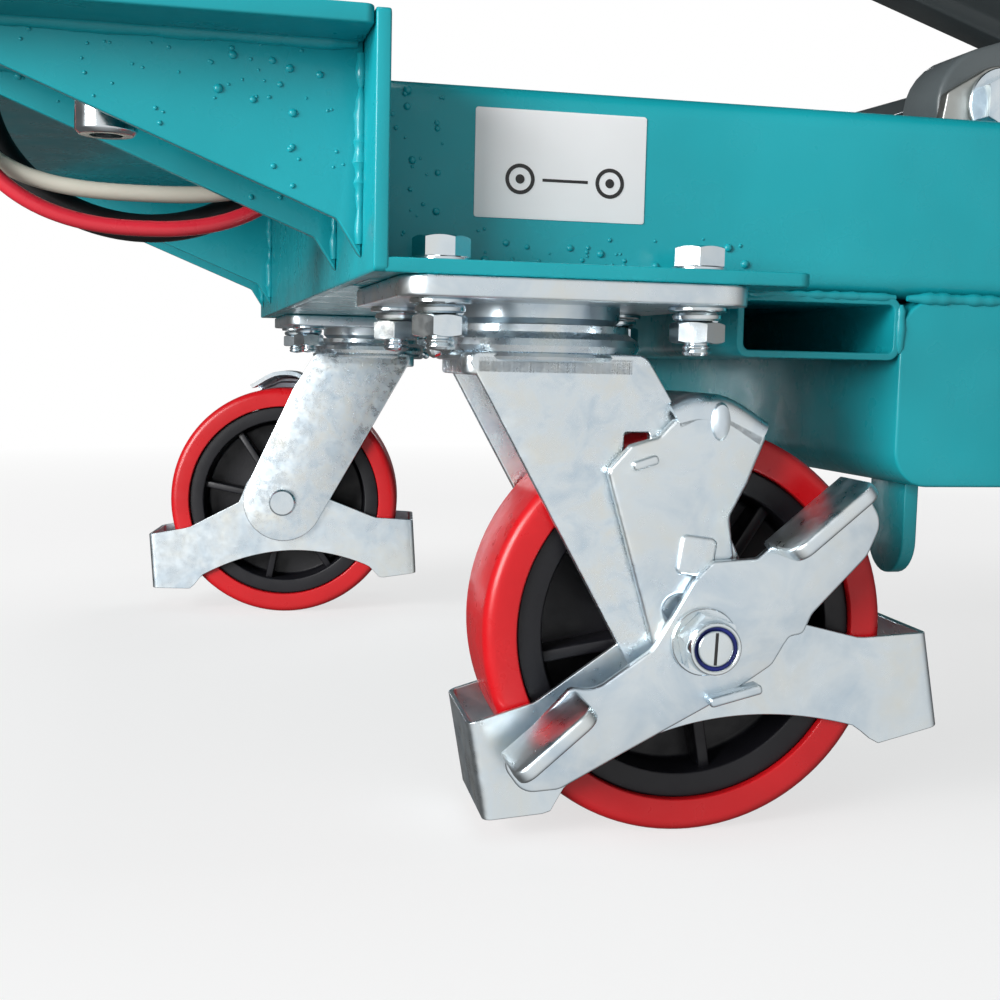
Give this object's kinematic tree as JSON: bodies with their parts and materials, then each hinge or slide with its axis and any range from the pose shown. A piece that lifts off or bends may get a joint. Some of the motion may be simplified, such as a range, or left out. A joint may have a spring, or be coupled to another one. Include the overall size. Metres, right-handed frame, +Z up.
{
  "type": "mobile scissor car jack",
  "caption": "Wheeled hydraulic scissor jack: a low steel frame on braked swivel casters raises a flat platform on crossed arms.",
  "frame": {"origin": "on the floor, under the middle of the frame", "axes": "+X along the frame away from the power unit shelf, +Y across the frame to the rear, +Z up"},
  "size_m": [1.5496, 0.632, 0.9136],
  "materials": {
    "teal_paint": "gloss powder coat",
    "zinc_plate": "bright bluish zinc plating",
    "red_tyre": "smooth red polyurethane tread",
    "black_core": "moulded black wheel centre",
    "charcoal_paint": "satin dark grey paint",
    "grey_steel": "plain grey steel",
    "black_paint": "satin black paint",
    "chrome_rod": "hard chrome",
    "red_hose": "smooth red hose",
    "power_cable": "beige cable sheath",
    "black_hose": "black hydraulic hose"
  },
  "bodies": {
    "base": {"side_beam_front": "teal_paint", "side_beam_rear": "teal_paint", "end_plate_left": "teal_paint", "end_plate_right": "teal_paint", "box_member_left": "teal_paint", "box_member_right": "teal_paint", "shelf": "teal_paint", "cross_tube": "teal_paint", "pivot_lug_front": "grey_steel", "pivot_lug_rear": "grey_steel", "pivot_shaft": "zinc_plate", "oil_tank": "black_paint", "pump_motor": "black_paint", "push_handle": "charcoal_paint", "red_hose": "red_hose", "power_cable": "power_cable", "black_hose": "black_hose", "caster_plate_front_left": "zinc_plate", "caster_plate_rear_left": "zinc_plate", "caster_plate_front_right": "zinc_plate", "caster_plate_rear_right": "zinc_plate"},
    "swivel_front_left": {"caster_fork_front_left": "zinc_plate", "toe_guard_front_left": "zinc_plate", "axle_front_left": "zinc_plate"},
    "wheel_front_left": {"tyre_front_left": "red_tyre", "wheel_core_front_left": "black_core"},
    "brake_front_left": {"brake_lever_front_left": "zinc_plate"},
    "swivel_rear_left": {"caster_fork_rear_left": "zinc_plate", "toe_guard_rear_left": "zinc_plate", "axle_rear_left": "zinc_plate"},
    "wheel_rear_left": {"tyre_rear_left": "red_tyre", "wheel_core_rear_left": "black_core"},
    "brake_rear_left": {"brake_lever_rear_left": "zinc_plate"},
    "swivel_front_right": {"caster_fork_front_right": "zinc_plate", "toe_guard_front_right": "zinc_plate", "axle_front_right": "zinc_plate"},
    "wheel_front_right": {"tyre_front_right": "red_tyre", "wheel_core_front_right": "black_core"},
    "brake_front_right": {"brake_lever_front_right": "zinc_plate"},
    "swivel_rear_right": {"caster_fork_rear_right": "zinc_plate", "toe_guard_rear_right": "zinc_plate", "axle_rear_right": "zinc_plate"},
    "wheel_rear_right": {"tyre_rear_right": "red_tyre", "wheel_core_rear_right": "black_core"},
    "brake_rear_right": {"brake_lever_rear_right": "zinc_plate"},
    "upper_roller_front": {"upper_roller_front": "grey_steel"},
    "lower_roller_front": {"lower_roller_front": "grey_steel"},
    "upper_roller_rear": {"upper_roller_rear": "grey_steel"},
    "lower_roller_rear": {"lower_roller_rear": "grey_steel"},
    "outer_arms": {"outer_arm_front": "charcoal_paint", "outer_arm_rear": "charcoal_paint", "push_bar": "charcoal_paint"},
    "inner_arms": {"inner_arm_front": "charcoal_paint", "inner_arm_rear": "charcoal_paint", "inner_arm_tie": "charcoal_paint"},
    "platform": {"platform_plate": "charcoal_paint", "platform_rail_front": "charcoal_paint", "platform_rail_rear": "charcoal_paint"},
    "barrel": {"cylinder_barrel": "black_paint"},
    "rod": {"cylinder_rod": "chrome_rod"}
  },
  "joints": [
    {"name": "swivel_front_left", "type": "hinge", "parent": "base", "child": "swivel_front_left", "pos_m": [-0.56, -0.2275, 0.18], "axis": [0, 0, 1], "continuous": true},
    {"name": "roll_front_left", "type": "hinge", "parent": "swivel_front_left", "child": "wheel_front_left", "pos_m": [-0.50608, -0.23051, 0.075], "axis": [0.0558, 0.9984, 0], "continuous": true},
    {"name": "brake_front_left", "type": "hinge", "parent": "swivel_front_left", "child": "brake_front_left", "pos_m": [-0.50608, -0.23051, 0.075], "axis": [0.0558, 0.9984, 0], "range_deg": [0, 14]},
    {"name": "swivel_rear_left", "type": "hinge", "parent": "base", "child": "swivel_rear_left", "pos_m": [-0.56, 0.2275, 0.18], "axis": [0, 0, 1], "continuous": true},
    {"name": "roll_rear_left", "type": "hinge", "parent": "swivel_rear_left", "child": "wheel_rear_left", "pos_m": [-0.61329, 0.23623, 0.075], "axis": [-0.1616, -0.9869, 0], "continuous": true},
    {"name": "brake_rear_left", "type": "hinge", "parent": "swivel_rear_left", "child": "brake_rear_left", "pos_m": [-0.61329, 0.23623, 0.075], "axis": [-0.1616, -0.9869, 0], "range_deg": [0, 14]},
    {"name": "swivel_front_right", "type": "hinge", "parent": "base", "child": "swivel_front_right", "pos_m": [0.56, -0.2275, 0.18], "axis": [0, 0, 1], "continuous": true},
    {"name": "roll_front_right", "type": "hinge", "parent": "swivel_front_right", "child": "wheel_front_right", "pos_m": [0.50653, -0.21998, 0.075], "axis": [-0.1392, -0.9903, 0], "continuous": true},
    {"name": "brake_front_right", "type": "hinge", "parent": "swivel_front_right", "child": "brake_front_right", "pos_m": [0.50653, -0.21998, 0.075], "axis": [-0.1392, -0.9903, 0], "range_deg": [0, 14]},
    {"name": "swivel_rear_right", "type": "hinge", "parent": "base", "child": "swivel_rear_right", "pos_m": [0.56, 0.2275, 0.18], "axis": [0, 0, 1], "continuous": true},
    {"name": "roll_rear_right", "type": "hinge", "parent": "swivel_rear_right", "child": "wheel_rear_right", "pos_m": [0.6124, 0.24056, 0.075], "axis": [-0.2419, 0.9703, 0], "continuous": true},
    {"name": "brake_rear_right", "type": "hinge", "parent": "swivel_rear_right", "child": "brake_rear_right", "pos_m": [0.6124, 0.24056, 0.075], "axis": [-0.2419, 0.9703, 0], "range_deg": [0, 14]},
    {"name": "lift", "type": "hinge", "parent": "base", "child": "outer_arms", "pos_m": [-0.358, 0, 0.28], "axis": [0, -1, 0], "range_deg": [-10.5, 32]},
    {"name": "centre_pivot", "type": "hinge", "parent": "outer_arms", "child": "inner_arms", "pos_m": [-0.04362, 0, 0.38033], "axis": [0, -1, 0], "range_deg": [-64.2, 21.2]},
    {"name": "platform_pivot", "type": "hinge", "parent": "inner_arms", "child": "platform", "pos_m": [-0.358, 0, 0.48066], "axis": [0, -1, 0], "range_deg": [-10.7, 32.2]},
    {"name": "upper_roller_front", "type": "hinge", "parent": "outer_arms", "child": "upper_roller_front", "pos_m": [0.27076, -0.215, 0.48066], "axis": [0, 1, 0], "continuous": true},
    {"name": "lower_roller_front", "type": "hinge", "parent": "inner_arms", "child": "lower_roller_front", "pos_m": [0.27076, -0.215, 0.28], "axis": [0, 1, 0], "continuous": true},
    {"name": "upper_roller_rear", "type": "hinge", "parent": "outer_arms", "child": "upper_roller_rear", "pos_m": [0.27076, 0.215, 0.48066], "axis": [0, 1, 0], "continuous": true},
    {"name": "lower_roller_rear", "type": "hinge", "parent": "inner_arms", "child": "lower_roller_rear", "pos_m": [0.27076, 0.215, 0.28], "axis": [0, 1, 0], "continuous": true},
    {"name": "barrel_pivot", "type": "hinge", "parent": "base", "child": "barrel", "pos_m": [-0.293, 0, 0.165], "axis": [0, -1, 0], "range_deg": [-10.07, 30.28]},
    {"name": "rod_slide", "type": "slide", "parent": "barrel", "child": "rod", "axis": [0.8444, 0, 0.5358], "range_m": [-0.0235, 0.071]}
  ],
  "couplings": [
    {"joint": "centre_pivot", "follows": "lift", "ratio": -2},
    {"joint": "platform_pivot", "follows": "lift", "ratio": 1},
    {"joint": "barrel_pivot", "follows": "lift", "ratio": 0.94},
    {"joint": "rod_slide", "follows": "lift", "m_per_rad": 0.126}
  ]
}
